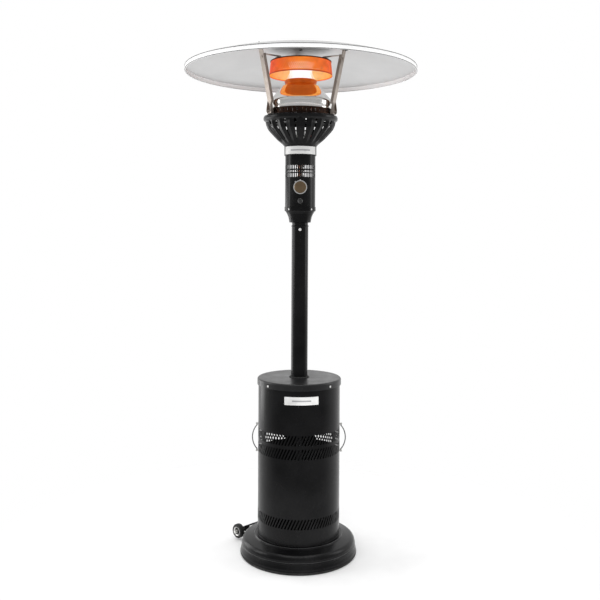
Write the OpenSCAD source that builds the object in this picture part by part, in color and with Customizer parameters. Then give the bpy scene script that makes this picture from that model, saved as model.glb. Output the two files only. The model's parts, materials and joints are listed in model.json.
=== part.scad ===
// Gas patio heater: a domed base with a wheel kit, a tank housing that lifts up the post, a control head,
// a burner under a polished cone, a glowing emitter bell and a dished reflector held by three bars.
// Millimetres, +Z up. The origin is on the floor under the middle of the base, and the controls face -Y.

/* [Base] */
// Outer radius of the rubber trim round the foot
base_r = 270; // [266:1:276]
// Height of the ledge that the tank housing stands on
ledge_z = 93; // [90:1:96]
// Radius of the weight plate inside the base
weight_r = 238; // [220:1:245]

/* [Wheels] */
// Tyre radius
wheel_r = 33; // [30:1:35]
// Width of each wheel
wheel_w = 32; // [26:1:34]
// Distance from the post's axis to the wheel axle
axle_reach = 303; // [300:1:306]
// Height of the wheel axle above the floor
axle_z = 40; // [38:1:42]
// Distance between the middles of the two wheels
wheel_track = 214; // [206:1:224]

/* [Tank housing] */
// Outer radius of the housing
housing_r = 190; // [188:1:194]
// Height of the lid's top above the floor
lid_z = 814; // [800:1:840]
// Number of slanted vents in each row
vent_count = 80; // [40:2:90]
// Width of a vent
vent_w = 7; // [4:0.5:8]
// Slant of the vents from upright
vent_slant = 25; // [0:1:30]

/* [Handles] */
// Height of the handles' lower eyes
handle_low_z = 471; // [460:1:480]
// Distance between a handle's two eyes
handle_span = 125; // [110:1:135]
// How far the handle's bow stands out from its eyes
handle_bow = 21; // [18:1:28]
// Wire thickness
handle_wire = 5; // [4:0.5:6]

/* [Post] */
// Outer radius of the post
post_r = 38.7; // [36:0.1:39]
// Height of the post's top end
post_top_z = 1522; // [1500:1:1530]

/* [Control head] */
// Outer radius of the control housing
head_r = 70.5; // [68:0.5:72]
// Height of the knob's middle
knob_z = 1696; // [1690:1:1700]
// Height of the igniter button's middle
igniter_z = 1633; // [1628:1:1636]
// Knob radius
knob_r = 27; // [22:0.5:27]
// How far the knob pushes in to open the pilot valve
knob_push = 6; // [4:0.5:6]
// Travel of the igniter button
igniter_travel = 8; // [5:0.5:8]
// Number of air slots in each row of the grille
grille_count = 48; // [24:2:52]

/* [Burner] */
// Radius of the bowl's rolled lip
bowl_r = 173.4; // [170:0.2:178]
// Number of flutes round the bowl
flute_count = 20; // [12:1:24]
// Bottom radius of the polished cone
cone_r = 150; // [146:1:151]
// Height of the cone's top plate
cone_top_z = 2170; // [2165:1:2175]

/* [Emitter] */
// Bottom radius of the glowing band
emitter_r = 148; // [144:1:150]
// Top radius of the glowing band
emitter_top_r = 141; // [138:1:143]
// Height of the band's lower edge
emitter_z = 2218; // [2215:1:2222]
// Height of the band's upper edge
emitter_top_z = 2284; // [2280:1:2288]

/* [Reflector] */
// Rim radius
reflector_r = 537; // [500:1:560]
// Radius of the sphere that the dish is part of
dish_r = 1630; // [1500:10:1800]
// Height of the dish's highest point
dish_top_z = 2342; // [2340:1:2346]
// Turn of the three bars about the post
bars_turn = -26; // [-30:0.5:-15]

/* [Sheet metal] */
// Thickness of the pressed sheet
sheet_t = 1.2; // [1:0.1:1.3]

/* [Hidden] */
$fn = 96;

gap = 0.3;
wide_fn = 180;

black = [0.04, 0.04, 0.045];
dark = [0.09, 0.09, 0.1];
steel = [0.72, 0.7, 0.68];
bright = [0.88, 0.88, 0.9];
brass = [0.8, 0.62, 0.28];
copper = [0.78, 0.42, 0.26];
bronze = [0.45, 0.36, 0.26];
hot = [1, 0.42, 0.1];
pale = [0.86, 0.86, 0.85];

// Base levels
foot_t = 4;
skirt_r = base_r - 3.6;
plate_z = foot_t + 0.2;
plate_t = 3;
base_plate_r = 262;
weight_z = plate_z + plate_t + 0.2;
weight_h = 20;

// Legs and hub plate inside the housing
leg_turn = 90;
leg_r = 186;
leg_w = 30;
leg_t = 3;
leg_bolt_r = 170;
leg_foot_z = ledge_z + 0.3;
leg_top_z = lid_z - 44;
hub_z = leg_top_z + 0.2;
hub_t = 4;
socket_bolt_r = 52;
post_low_z = hub_z + hub_t + 5.3;

// Tank housing
shell_low_z = ledge_z + 0.4;
shell_top_z = lid_z - 14;
lid_r = housing_r + 5;
lid_skirt = 30;
lid_round = 8;
grommet_r = 44;
// Middle height and height of each row of vents
vent_rows = [[562.5, 45], [501, 47], [190.5, 45]];
// Half the turn of the plain strip at the back
seam_strip = 24;
screw_turns = [-46, 46, 134, -134];

// Handles: the pin axis stands this far off the post's axis
eye_x = housing_r + 6;
eye_h = 8;

// Head levels
spigot_r = post_r - sheet_t - 0.1;
funnel_z = 1533;
collar_z = 1588;
collar_h = 19;
head_z = collar_z + 1;
neck_z = 1846;
neck_h = 42;
neck_r = head_r + 4.5;
// Middle height, height and width of the air slots: three short rows at the front, one tall row at the back
grille_rows = [[1790.5, 17, 4.2], [1770.5, 9, 4.2], [1752.5, 17, 4.2]];
rear_rows = [[1773, 70, 6.2]];
// Half the turn that the tall row takes
rear_grille = 75;
panel_r = head_r + 0.3;
panel_t = 1.5;
panel_turn = 41;
panel_top_z = 1742;
stem_r = 4;
valve_y = -38;
follower_y = -40;
igniter_r = 12;
button_r = 9;
venturi_r = 20;

// Burner levels
bowl_z = neck_z + neck_h + gap;
lip_z = 2010;
lip_h = 15;
flange_top_z = 2030;
// Lower end of the slots in the bowl's flutes, and middle of the holes above them
flute_slot_z = 1919;
flute_hole_z = 1992;
screen_r = 154;
screen_top_z = 2057;
cone_foot_z = screen_top_z + 0.8;
cone_flat_r = 86;
cone_knee_z = cone_top_z - 83;
burner_z = cone_top_z + 2;
burner_r = 74;

// Bars between the bowl and the reflector
bar_low_r = 157;
bar_low_z = flange_top_z + 1;
bar_high_r = 218.5;
bar_w = 32;
bar_t = 3;
// Depth of a bar's folded edges, and how far they stop from its two ends
bar_fold = 11;
fold_low = 46;
fold_high = 26;
dish_z = dish_top_z - dish_r;
bar_high_z = dish_height(bar_high_r) - 3;
bar_lean = atan((bar_high_r - bar_low_r) / (bar_high_z - bar_low_z));
arm_bolt_r = emitter_top_r - 15;
stud_r = bar_high_r + 10;
wing_z = bar_low_z + 10;
bar_length = norm([bar_high_r - bar_low_r, bar_high_z - bar_low_z]);
rim_drop = 18;

function leg_turns() = [leg_turn, leg_turn + 120, leg_turn + 240];
function bar_turns() = [bars_turn, bars_turn + 120, bars_turn + 240];
// Underside height of the dish at a distance r from the axis
function dish_height(r) = dish_z + sqrt(pow(dish_r - sheet_t, 2) - r * r);

// Points along an arc about c, from angle a to angle b in n steps
function arc(c, r, a, b, n) = [for (i = [0 : n]) let (turn = a + (b - a) * i / n)
    c + r * [cos(turn), sin(turn)]];

// An open line moved t to its left, with mitred corners
function edge_normal(p, i) = [p[i].y - p[i + 1].y, p[i + 1].x - p[i].x] / norm(p[i + 1] - p[i]);
function corner_shift(p, i) =
    i == 0 ? edge_normal(p, 0)
    : i == len(p) - 1 ? edge_normal(p, i - 1)
    : (edge_normal(p, i - 1) + edge_normal(p, i)) / (1 + edge_normal(p, i - 1) * edge_normal(p, i));
function beside(p, t) = [for (i = [0 : len(p) - 1]) p[i] + t * corner_shift(p, i)];
function reversed(p) = [for (i = [len(p) - 1 : -1 : 0]) p[i]];

// A skin spun round the axis, t thick to the left of its outline
module spun_skin(p, t = sheet_t) rotate_extrude($fn = wide_fn) polygon(concat(p, reversed(beside(p, t))));

module tube(r, t, z, h) difference() {
    translate([0, 0, z]) cylinder(r = r, h = h);
    translate([0, 0, z - 1]) cylinder(r = r - t, h = h + 2);
}

// A ring with a rectangular section, over part of a turn centred on -Y
module band(r, t, z, h, half_turn) rotate([0, 0, -90 - half_turn]) rotate_extrude(angle = 2 * half_turn)
    translate([r, z]) square([t, h]);

// A rod along -Y, from y = a to y = b
module rod_y(r, a, b, x = 0, z = 0) translate([x, max(a, b), z]) rotate([90, 0, 0])
    cylinder(r = r, h = abs(b - a));

// The four holes round the lid or the collar, for its screws
module screw_holes(at_r, z, r) around([for (a = screw_turns) a - 90]) translate([at_r, 0, z])
    rotate([0, 90, 0]) cylinder(r = r, h = 20, center = true);

// Copies round the axis at the angles given, counted from +X
module around(turns) for (a = turns) rotate([0, 0, a]) children();

// A pan-head screw at the origin, its head outwards along +X
module pan_screw(r, head_r, reach) {
    translate([-reach, 0, 0]) rotate([0, 90, 0]) cylinder(r = r, h = reach + 0.1);
    rotate([0, 90, 0]) cylinder(r = head_r, h = head_r * 0.45);
}

// A hexagon-head bolt through the origin, its head below and its nut above
module hex_bolt(r, grip, above = 6) {
    translate([0, 0, -r * 0.75]) cylinder(r = r * 1.8, h = r * 0.75, $fn = 6);
    cylinder(r = r, h = grip + above);
    translate([0, 0, grip]) cylinder(r = r * 1.8, h = r * 0.8, $fn = 6);
}

// A wire coil along +Z made of a swept octagon
module coil(r, wire_r, h, turns) {
    steps = 10 * turns;
    rim = [for (i = [0 : steps]) for (k = [0 : 5])
        let (a = 36 * i, b = 60 * k, q = r + wire_r * cos(b))
        [q * cos(a), q * sin(a), wire_r + (h - 2 * wire_r) * i / steps + wire_r * sin(b)]];
    sides = [for (i = [0 : steps - 1]) for (k = [0 : 5])
        [6 * i + k, 6 * i + (k + 1) % 6, 6 * i + 6 + (k + 1) % 6, 6 * i + 6 + k]];
    polyhedron(rim, concat(sides, [[5, 4, 3, 2, 1, 0]], [[for (k = [0 : 5]) 6 * steps + k]]));
}

// ---- Base ----

module base_trim() color(black) rotate_extrude($fn = wide_fn) polygon(concat(
    [[skirt_r + 0.2, foot_t], [skirt_r + 0.2, 12], [base_r - 0.8, 12]],
    [[base_r, 11], [base_r - 0.6, 7], [base_r - 5, 0], [skirt_r - 8, 0], [skirt_r - 8, foot_t]]));

function cover_line() = concat(
    [[skirt_r, foot_t + 0.2], [skirt_r, 12.6], [base_r - 1, 14.5], [base_r - 2.4, 23], [base_r - 5.5, 33],
     [base_r - 7.6, 42], [base_r - 7.8, 45], [base_r - 9.4, 46.6], [base_r - 9.4, 48.4], [base_r - 7.6, 50]],
    arc([base_r - 34, 55], 26, 0, 66, 7),
    [[225, 83.2], [206, 87.2], [204, ledge_z - 2], [202.5, ledge_z], [35, ledge_z]]);

module base_cover() color(black) difference() {
    spun_skin(cover_line(), 1.5);
    around(leg_turns()) translate([leg_bolt_r, 0, 60]) cylinder(r = 4.4, h = 60);
}

module base_weight() color(dark) difference() {
    translate([0, 0, weight_z]) cylinder(r = weight_r, h = weight_h);
    translate([0, 0, weight_z - 1]) cylinder(r = 120, h = weight_h + 2);
    around(leg_turns())
        translate([leg_bolt_r, 0, weight_z - 1]) cylinder(r = 4.4, h = weight_h + 2);
}

module base_plate() color(dark) difference() {
    translate([0, 0, plate_z]) cylinder(r = base_plate_r, h = plate_t);
    translate([0, 0, plate_z - 1]) cylinder(r = 60, h = plate_t + 2);
    around(leg_turns())
        translate([leg_bolt_r, 0, plate_z - 1]) cylinder(r = 4.4, h = plate_t + 2);
}

// ---- Wheel kit, at the back left ----

module at_wheels() rotate([0, 0, 135]) children();

module wheel_bracket() color(black) at_wheels() {
    ear_y = 74;
    rotate([0, 0, -17]) rotate_extrude(angle = 34) translate([base_r - 7.2, 52]) square([2.5, 12]);
    for (side = [-1, 1]) translate([0, side * ear_y, 0]) difference() {
        rotate([90, 0, 0]) linear_extrude(2.5, center = true) {
            polygon([[base_r - 15.5, 51.5], [base_r - 15.5, 64.5], [base_r + 12, 64.5],
                [axle_reach + 9.5, axle_z + 7], [axle_reach + 7, axle_z - 9.5],
                [axle_reach - 9, axle_z - 8]]);
            translate([axle_reach, axle_z]) circle(r = 12);
        }
        translate([axle_reach, 5, axle_z]) rotate([90, 0, 0]) cylinder(r = 5.05, h = 10);
    }
    translate([axle_reach + 9.4, -ear_y, axle_z - 3]) cube([2, 2 * ear_y, 11]);
}

module along_axle(a, b, r) translate([axle_reach, b, axle_z]) rotate([90, 0, 0]) cylinder(r = r, h = b - a);

axle_half = wheel_track / 2 + wheel_w / 2 + 6;
module wheel_axle() color(steel) at_wheels() along_axle(-axle_half, axle_half, 5);

module axle_caps() color(bright) at_wheels() for (side = [0, 180])
    translate([axle_reach, 0, axle_z]) rotate([0, 0, side]) rotate([90, 0, 0]) {
        start = wheel_track / 2 + wheel_w / 2 - 5;
        difference() {
            union() {
                translate([0, 0, start]) cylinder(r = 8, h = 3);
                translate([0, 0, start]) cylinder(r = 6.6, h = 14);
            }
            translate([0, 0, start - 1]) cylinder(r = 5.05, h = 12.5);
        }
    }

module wheel_hub(side) color(bright) at_wheels() translate([axle_reach, side * wheel_track / 2, axle_z])
    rotate([90, 0, 0]) difference() {
        translate([0, 0, -wheel_w / 2 + 1]) cylinder(r = 21, h = wheel_w - 2);
        translate([0, 0, -wheel_w]) cylinder(r = 5.05, h = 2 * wheel_w);
        for (end = [-1, 1]) translate([0, 0, end * wheel_w / 2]) cylinder(r = 16.5, h = 16, center = true);
    }

module wheel_tyre(side) color(black) at_wheels() translate([axle_reach, side * wheel_track / 2, axle_z])
    rotate([90, 0, 0]) rotate_extrude() polygon(concat(
        [[21.1, -wheel_w / 2 + 1]],
        arc([wheel_r - 6, -wheel_w / 2 + 6], 6, -90, 0, 4),
        arc([wheel_r - 6, wheel_w / 2 - 6], 6, 0, 90, 4),
        [[21.1, wheel_w / 2 - 1]]));

module left_wheel_hub() wheel_hub(1);
module left_wheel_tyre() wheel_tyre(1);
module right_wheel_hub() wheel_hub(-1);
module right_wheel_tyre() wheel_tyre(-1);

// ---- Frame inside the tank housing ----

module support_legs() color(dark) around(leg_turns()) difference() {
    union() {
        translate([leg_r - leg_t, -leg_w / 2, leg_foot_z]) cube([leg_t, leg_w, leg_top_z - leg_foot_z]);
        for (z = [leg_foot_z, leg_top_z - leg_t])
            translate([leg_r - 29, -leg_w / 2, z]) cube([28, leg_w, leg_t]);
    }
    for (z = [leg_foot_z, leg_top_z - leg_t])
        translate([leg_bolt_r, 0, z - 1]) cylinder(r = 4.2, h = leg_t + 2);
}

module hub_plate() color(dark) difference() {
    union() {
        translate([0, 0, hub_z]) cylinder(r = leg_r - 1, h = hub_t);
        translate([0, 0, hub_z + hub_t]) cylinder(r = 64, h = 5);
        translate([0, 0, hub_z + hub_t]) cylinder(r = spigot_r, h = 90);
    }
    translate([0, 0, hub_z + hub_t - 0.1]) cylinder(r = spigot_r - 3, h = 100);
    translate([0, 0, hub_z - 1]) cylinder(r = 12, h = 30);
    around(leg_turns()) {
        translate([leg_bolt_r, 0, hub_z - 1]) cylinder(r = 4.2, h = hub_t + 2);
        translate([socket_bolt_r, 0, hub_z - 1]) cylinder(r = 4.2, h = 20);
    }
}

module frame_bolts() color(bright) around(leg_turns()) {
    translate([leg_bolt_r, 0, plate_z]) hex_bolt(4, leg_foot_z + leg_t - plate_z, 5);
    translate([leg_bolt_r, 0, leg_top_z - leg_t]) hex_bolt(4, leg_t + 0.2 + hub_t, 5);
    translate([socket_bolt_r, 0, hub_z]) hex_bolt(4, hub_t + 5, 5);
}

// ---- Post and gas line ----

module post_tube() color(black) difference() {
    union() {
        tube(post_r, sheet_t, post_low_z, post_top_z - post_low_z);
        translate([0, 0, post_top_z - 4]) difference() {
            rotate_extrude() translate([post_r - 0.6, 0]) circle(r = 2.9, $fn = 32);
            cylinder(r = post_r - sheet_t, h = 20, center = true);
        }
    }
    rod_y(2.6, -60, 0, z = post_top_z - 20);
}

pipe_top_z = knob_z - 34;
module gas_pipe() color(copper) {
    translate([0, 0, lid_z - 64]) cylinder(r = 5, h = pipe_top_z - 12 - lid_z + 64, $fn = 48);
    translate([0, -12, pipe_top_z - 12]) rotate([90, 0, 90]) rotate_extrude(angle = 90)
        translate([12, 0]) circle(r = 5, $fn = 48);
    rod_y(5, -12, valve_y + 12, z = pipe_top_z, $fn = 48);
    translate([0, valve_y + 12, pipe_top_z + 12]) rotate([90, 0, -90]) rotate_extrude(angle = -90)
        translate([12, 0]) circle(r = 5, $fn = 48);
}

module inlet_fitting() color(brass) translate([0, 0, lid_z - 84]) difference() {
    union() {
        cylinder(r = 7.9, h = 16);
        translate([0, 0, 16]) cylinder(r = 12, h = 9, $fn = 6);
        translate([0, 0, 25]) cylinder(r = 8, h = 6);
    }
    translate([0, 0, -1]) cylinder(r = 3.2, h = 22);
    translate([0, 0, 19.8]) cylinder(r = 5.05, h = 20);
}

// ---- Tank housing ----

// The sheet's seam runs up the back, on a strip without vents
function vent_turns() = [for (i = [0 : vent_count - 1]) let (turn = (i + 0.5) * 360 / vent_count)
    if (abs(turn - 180) > seam_strip) turn];

module housing_shell() color(black) difference() {
    tube(housing_r, sheet_t, shell_low_z, shell_top_z - shell_low_z, $fn = wide_fn);
    for (row = vent_rows) for (turn = vent_turns()) rotate([0, 0, turn])
        translate([0, -housing_r, row.x]) rotate([0, vent_slant, 0])
            cube([vent_w, 16, row.y / cos(vent_slant)], center = true);
    for (side = [-1, 1]) for (z = eye_heights()) translate([side * housing_r, 0, z]) rotate([0, 90, 0])
        cylinder(r = 2.1, h = 10, center = true);
    screw_holes(housing_r, lid_screw_z, 2.6);
}

lid_screw_z = lid_z - 19;
function lid_screw_turns() = [for (a = screw_turns) a - 90];
function eye_heights() = [handle_low_z, handle_low_z + handle_span];

module housing_lid() color(dark) difference() {
    spun_skin(concat([[lid_r, lid_z - lid_skirt]],
        arc([lid_r - lid_round, lid_z - lid_round], lid_round, 0, 90, 6), [[grommet_r - 3, lid_z]]));
    screw_holes(lid_r, lid_screw_z, 2.6);
}

module lid_screws() color(bright) around(lid_screw_turns())
    translate([lid_r + 0.1, 0, lid_screw_z]) pan_screw(2.4, 5, 9);

module lid_grommet() color(black) rotate_extrude() polygon([
    [post_r + 0.5, lid_z - 5], [post_r + 0.5, lid_z + 5], [grommet_r - 3, lid_z + 5],
    [grommet_r + 3, lid_z + 1.5],
    [grommet_r + 3, lid_z + 0.1], [grommet_r - 3.2, lid_z + 0.1], [grommet_r - 3.2, lid_z - sheet_t - 0.1],
    [grommet_r, lid_z - sheet_t - 0.1], [grommet_r, lid_z - 5]]);

badge_turn = 3.5;
module housing_badge() color(pale) rotate([0, 0, badge_turn]) band(housing_r + 0.2, 0.8, 722, 36, 23.4);

// Each eye is a small block riveted to the housing, with an upright bore for the handle's pin
module handle_eyes() color(steel) for (side = [-1, 1]) for (z = eye_heights()) difference() {
    translate([side * (eye_x + 0.2), 0, z]) union() {
        cube([8.6, 12, eye_h], center = true);
        rotate([0, 90, 0]) translate([0, 0, side > 0 ? -11 : 0]) cylinder(r = 2, h = 11);
        translate([side * -8.9, 0, 0]) rotate([0, 90, 0]) cylinder(r = 3.6, h = 1.4, center = true);
    }
    translate([side * eye_x, 0, z]) cylinder(r = handle_wire / 2 + 0.06, h = 20, center = true);
}

// The wire bow: a round arc with an upright pin at each end, each pin in its eye from outside
module wire_handle() color(bright) {
    half = handle_span / 2;
    run = half - eye_h / 2 - 3;
    bow_r = (run * run + handle_bow * handle_bow) / (2 * handle_bow);
    sweep = asin(run / bow_r);
    wire_r = handle_wire / 2;
    translate([eye_x, 0, handle_low_z + half]) {
        translate([handle_bow - bow_r, 0, 0]) rotate([90, 0, 0]) rotate([0, 0, -sweep])
            rotate_extrude(angle = 2 * sweep) translate([bow_r, 0]) circle(r = wire_r);
        for (end = [-1, 1]) {
            translate([0, 0, end * run]) sphere(r = wire_r + 0.5);
            translate([0, 0, end > 0 ? run : -run - 10]) cylinder(r = wire_r, h = 10);
        }
    }
}

module left_handle() mirror([1, 0, 0]) wire_handle();
module right_handle() wire_handle();

// ---- Control head ----

module head_funnel() color(black) difference() {
    spun_skin(concat(
        [[spigot_r, post_top_z - 52], [spigot_r, funnel_z], [50, funnel_z + 2], [51.6, 1546], [54.5, 1560],
         [60.5, 1574], [66, 1583], [head_r - 0.6, collar_z]],
        [[head_r - sheet_t - 0.2, collar_z + 0.6], [head_r - sheet_t - 0.2, collar_z + 11]]));
    rod_y(2.6, -60, 0, z = post_top_z - 20);
    screw_holes(head_r, head_screw_z, 2.4);
}

head_screw_z = collar_z + 7;
module head_collar() color(black) difference() {
    tube(head_r + 2.2, 2, collar_z + 0.2, collar_h);
    screw_holes(head_r, head_screw_z, 2.4);
}

module head_screws() color(bright) {
    around(lid_screw_turns()) translate([head_r + 2.3, 0, head_screw_z]) pan_screw(2.1, 4.2, 8);
    translate([0, -post_r - 0.1, post_top_z - 20]) rotate([0, 0, -90]) pan_screw(2.4, 6.5, 6);
}

function slot_turn(i) = (i + 0.5) * 360 / grille_count;
function slot_rows(turn) = abs(turn - 180) < rear_grille ? rear_rows : grille_rows;

module control_housing() color(black) difference() {
    tube(head_r, sheet_t, head_z + 0.2, neck_z - head_z - 0.2);
    for (i = [0 : grille_count - 1]) rotate([0, 0, slot_turn(i)]) for (slot = slot_rows(slot_turn(i)))
        translate([0, -head_r, slot.x]) cube([slot.z, 10, slot.y], center = true);
    rod_y(14, -head_r - 10, -40, z = knob_z);
    rod_y(igniter_r + 1, -head_r - 10, -40, z = igniter_z);
    screw_holes(head_r, head_screw_z, 2.4);
}

module control_panel() color([0.02, 0.02, 0.02]) difference() {
    band(panel_r, panel_t, collar_z + collar_h + 0.6, panel_top_z - collar_z - collar_h - 0.6, panel_turn);
    rod_y(14, -head_r - 10, -40, z = knob_z);
    rod_y(igniter_r + 0.3, -head_r - 10, -40, z = igniter_z);
}

bezel_r = 31.5;
panel_front = -(panel_r + panel_t);
module knob_bezel() color(bright) difference() {
    union() {
        rod_y(bezel_r, panel_front - 6, panel_front + 9, z = knob_z);
        for (turn = [0, 42]) translate([0, 0, knob_z]) rotate([0, -turn, 0])
            translate([-3, panel_front - 4, bezel_r - 1]) cube([6, 13, 5]);
    }
    rod_y(bezel_r - 4, panel_front - 20, panel_front + 20, z = knob_z);
    translate([0, 0, knob_z]) cylinder(r = panel_r + panel_t + 0.1, h = 100, center = true);
}

module gas_valve() color(brass) difference() {
    union() {
        translate([-17, valve_y - 18, knob_z - 17]) cube([34, 38, 34]);
        rod_y(10, valve_y - 18, valve_y - 26, z = knob_z);
        translate([0, valve_y, knob_z - 22]) cylinder(r = 9, h = 8, $fn = 6);
        translate([-9, valve_y + 8, knob_z + 15]) cylinder(r = 5.5, h = 8, $fn = 6);
        translate([9, valve_y + 8, knob_z + 15]) cylinder(r = 4.5, h = 8, $fn = 6);
    }
    rod_y(stem_r + 0.05, valve_y - 40, valve_y, z = knob_z);
    rod_y(7, valve_y - 8, valve_y + 16, z = knob_z);
    translate([0, valve_y, knob_z - 30]) cylinder(r = 5.05, h = 14);
    translate([-9, valve_y + 8, knob_z + 13]) cylinder(r = 3.05, h = 20);
    translate([9, valve_y + 8, knob_z + 13]) cylinder(r = 1.55, h = 20);
}

module valve_follower() color(steel) rod_y(6.6, follower_y, follower_y + 5, z = knob_z);

module valve_spring() color(bright) translate([0, follower_y + 5.3, knob_z]) rotate([-90, 0, 0])
    coil(5, 0.6, 11.8, 5);

module valve_stem() color(steel) difference() {
    rod_y(stem_r, panel_front - 16, follower_y - 0.3, z = knob_z);
    translate([-5, panel_front - 17, knob_z + stem_r - 1]) cube([10, 12, 5]);
}

knob_front = panel_front - 19;
module control_knob() color(bronze) difference() {
    union() {
        rod_y(knob_r, knob_front + 1.5, panel_front - knob_push - 2.3, z = knob_z);
        translate([0, knob_front + 1.6, knob_z]) rotate([90, 0, 0])
            cylinder(r1 = knob_r, r2 = knob_r - 1.6, h = 1.6);
        translate([-1.6, knob_front - 1.5, knob_z + 2]) cube([3.2, 6, knob_r - 6]);
    }
    difference() {
        rod_y(stem_r + 0.02, panel_front - 16.1, panel_front, z = knob_z);
        translate([-5, panel_front - 17, knob_z + stem_r - 0.95]) cube([10, 12, 5]);
    }
}

button_back = -54;
module igniter_body() color(black) difference() {
    rod_y(igniter_r, panel_front - 5, -28, z = igniter_z);
    rod_y(button_r + 0.1, panel_front - 10, -38, z = igniter_z);
    translate([0, -29, igniter_z]) rotate([-90, 0, 0]) cylinder(r = 1.3, h = 5);
}

module igniter_spring() color(bright) translate([0, button_back + 0.3, igniter_z]) rotate([-90, 0, 0])
    coil(6, 0.6, 15.4, 5);

module igniter_button() color(dark) union() {
    rod_y(button_r, panel_front - 5 - igniter_travel - 0.5, button_back, z = igniter_z);
    translate([0, panel_front - 5 - igniter_travel - 0.5, igniter_z]) rotate([90, 0, 0])
        cylinder(r1 = button_r, r2 = button_r - 1.5, h = 1.5);
}

// High-voltage lead from the igniter up to the spark electrode beside the burner pan
lead_x = 50;
module ignition_lead() color([0.75, 0.2, 0.12]) {
    rod_y(1.2, -27.5, -20, z = igniter_z, $fn = 24);
    translate([0, -20, igniter_z]) sphere(r = 1.2, $fn = 24);
    translate([0, -20, igniter_z]) rotate([0, 90, 0]) cylinder(r = 1.2, h = lead_x, $fn = 24);
    translate([lead_x, -20, igniter_z]) sphere(r = 1.2, $fn = 24);
    translate([lead_x, -20, igniter_z]) cylinder(r = 1.2, h = cone_top_z - 20 - igniter_z, $fn = 24);
    translate([lead_x, -20, cone_top_z - 20]) cylinder(r = 3, h = 16, $fn = 24);
    translate([lead_x, -20, cone_top_z - 5]) cylinder(r = 1, h = 5.2, $fn = 24);
}

module tilt_switch() color(dark) {
    translate([38, 24, knob_z - 40]) difference() {
        cylinder(r = 12, h = 30);
        translate([0, 0, 6]) cylinder(r = 9, h = 18);
    }
    translate([38, 24, knob_z - 28.8]) sphere(r = 5);
    translate([38, 22, knob_z - 32]) rotate([0, 0, 32]) translate([11, -6, 0])
        cube([head_r - sheet_t - 58, 12, 14]);
}

// ---- Gas train up to the burner ----

module orifice_holder() color(brass) {
    rod_y(6, valve_y + 20.2, 0, z = knob_z);
    difference() {
        translate([0, 0, knob_z - 8]) cylinder(r = 9, h = 44);
        translate([0, 0, knob_z + 30]) cylinder(r = 0.9, h = 20, $fn = 24);
    }
}

module burner_tube() color(steel) difference() {
    union() {
        tube(venturi_r, 1.5, knob_z + 40, cone_top_z - knob_z - 40 + 16);
        translate([0, 0, knob_z + 44]) difference() {
            cylinder(r1 = 28, r2 = venturi_r, h = 10);
            translate([0, 0, -0.1]) cylinder(r1 = 26.6, r2 = venturi_r - 1.4, h = 10.2);
        }
    }
    for (a = [45 : 90 : 315]) rotate([0, 0, a]) translate([venturi_r, 0, knob_z + 66]) rotate([0, 90, 0])
        cylinder(r = 6, h = 12, center = true);
}

module pilot_tube() color(copper) {
    translate([-9, valve_y + 8, knob_z + 16]) cylinder(r = 3, h = cone_top_z - knob_z - 20, $fn = 32);
}

module thermocouple() color(copper) {
    translate([9, valve_y + 8, knob_z + 16]) cylinder(r = 1.5, h = cone_top_z - knob_z - 20, $fn = 24);
}

module neck_collar() color(black) spun_skin(
    [[62, neck_z + 0.2], [neck_r, neck_z + 0.2], [neck_r, neck_z + neck_h]]);

module neck_badge() color(pale) band(neck_r + 0.2, 0.8, neck_z + 3, 36, 65);

// ---- Burner ----

function bowl_line() = concat(
    [[58, bowl_z], [75, bowl_z + 0.6], [81, 1896], [94, 1908], [109, 1921], [127, 1940], [141, 1955],
     [151, 1967], [159, 1985], [164, 2004]],
    [[bowl_r - 3, lip_z - 2], [bowl_r, lip_z + 2],
     [bowl_r, lip_z + lip_h - 2], [bowl_r - 2, lip_z + lip_h]]);

module burner_bowl() color(black) difference() {
    spun_skin(bowl_line());
    for (i = [0 : flute_count - 1]) rotate([0, 0, (i + 0.5) * 360 / flute_count]) {
        translate([120, -2.5, flute_slot_z]) cube([60, 5, 60]);
        translate([135, 0, flute_hole_z]) {
            for (z = [-2, 2]) translate([0, 0, z]) rotate([0, 90, 0]) cylinder(r = 5, h = 40);
            translate([0, -5, -2]) cube([40, 10, 4]);
        }
    }
    around([20, 140, 260]) translate([64, 0, bowl_z - 5]) cylinder(r = 2.6, h = 12);
}

module bowl_flange() color(black) spun_skin(
    [[bowl_r - 2.2, lip_z + lip_h + 1.8], [screen_r + 3, flange_top_z - 0.2],
     [screen_r - 7, flange_top_z - 0.2]]);

screen_slot_count = 45;
module screen_ring() color([0.25, 0.1, 0.08]) difference() {
    spun_skin([[screen_r - 6, flange_top_z + 0.2], [screen_r, flange_top_z + 0.2], [screen_r, screen_top_z],
        [screen_r - 6, screen_top_z]]);
    for (i = [0 : screen_slot_count - 1]) rotate([0, 0, i * 360 / screen_slot_count])
        translate([screen_r, 0, (flange_top_z + screen_top_z) / 2]) cube([10, 5, 14], center = true);
    around(bar_turns()) translate([screen_r, 0, wing_z]) rotate([0, 90, 0])
        cylinder(r = 3.3, h = 10, center = true);
}

module deflector_cone() color(bright) difference() {
    spun_skin([[cone_r + 2, cone_foot_z], [cone_r, cone_foot_z + 5], [cone_r, cone_knee_z],
        [cone_r - 1.4, cone_knee_z + 8], [cone_r - 4.5, cone_knee_z + 14], [cone_flat_r, cone_top_z],
        [venturi_r + 1, cone_top_z]], 1);
    translate([lead_x, -20, cone_top_z - 5]) cylinder(r = 1.6, h = 10);
    translate([-9, valve_y + 8, cone_top_z - 5]) cylinder(r = 3.4, h = 10);
    translate([9, valve_y + 8, cone_top_z - 5]) cylinder(r = 2, h = 10);
}

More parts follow.
